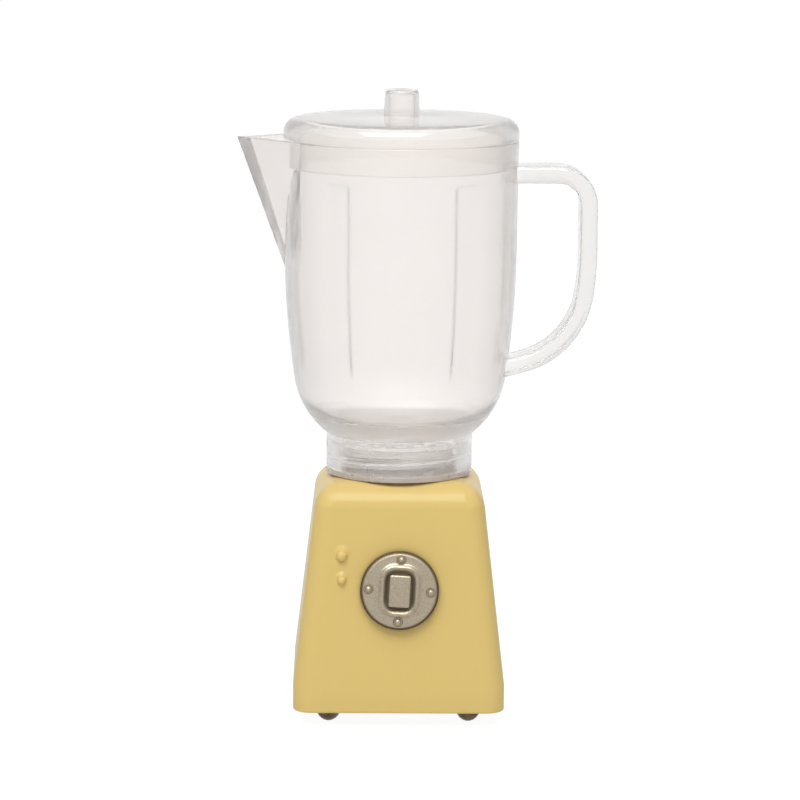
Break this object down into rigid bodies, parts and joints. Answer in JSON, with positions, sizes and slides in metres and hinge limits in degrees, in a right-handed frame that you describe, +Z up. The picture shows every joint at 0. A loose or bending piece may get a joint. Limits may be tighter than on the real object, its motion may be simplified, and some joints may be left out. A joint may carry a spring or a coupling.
{
  "type": "toy blender",
  "caption": "Doll-size toy blender: painted motor base with a turning dial, clear screw-on jar with spout and handle, and a clear lift-off lid.",
  "frame": {"origin": "on the jar's axis, in the plane that the four studs stand on", "axes": "+Z up along the jar's axis, -Y towards the dial, +X towards the handle, -X towards the spout"},
  "size_m": [0.0572, 0.0374, 0.0995],
  "materials": {
    "base_paint": "glossy",
    "plate_steel": "satin",
    "screw_steel": "satin",
    "clear_plastic": "clear, glossy",
    "washer_plastic": "translucent",
    "dial_pewter": "antique cast",
    "stud_metal": "darkened, glossy"
  },
  "bodies": {
    "base": {"base_housing": "base_paint", "bottom_plate": "plate_steel", "plate_screws": "screw_steel", "jar_mount": "clear_plastic", "mount_screws": "screw_steel", "foot_front_left": "stud_metal", "foot_front_right": "stud_metal", "foot_rear_left": "stud_metal", "foot_rear_right": "stud_metal"},
    "dial": {"dial": "dial_pewter", "dial_washer": "screw_steel", "dial_spring_washer": "screw_steel", "dial_screw": "screw_steel"},
    "washer": {"neck_washer": "washer_plastic"},
    "jar": {"jar": "clear_plastic"},
    "lid": {"lid": "clear_plastic"}
  },
  "joints": [
    {"name": "jar_unscrew", "type": "hinge", "parent": "base", "child": "washer", "pos_m": [0, 0, 0.03875], "axis": [0, 0, 1], "range_deg": [0, 900]},
    {"name": "jar_rise", "type": "slide", "parent": "washer", "child": "jar", "axis": [0, 0, 1], "range_m": [0, 0.0044]},
    {"name": "lid_lift", "type": "slide", "parent": "jar", "child": "lid", "axis": [0, 0, 1], "range_m": [0, 0.02]},
    {"name": "dial_turn", "type": "hinge", "parent": "base", "child": "dial", "pos_m": [0, -0.01493, 0.0218], "axis": [0, -0.9935, 0.1142], "continuous": true}
  ],
  "couplings": [
    {"joint": "jar_rise", "follows": "jar_unscrew", "m_per_rad": 0.00027852}
  ]
}
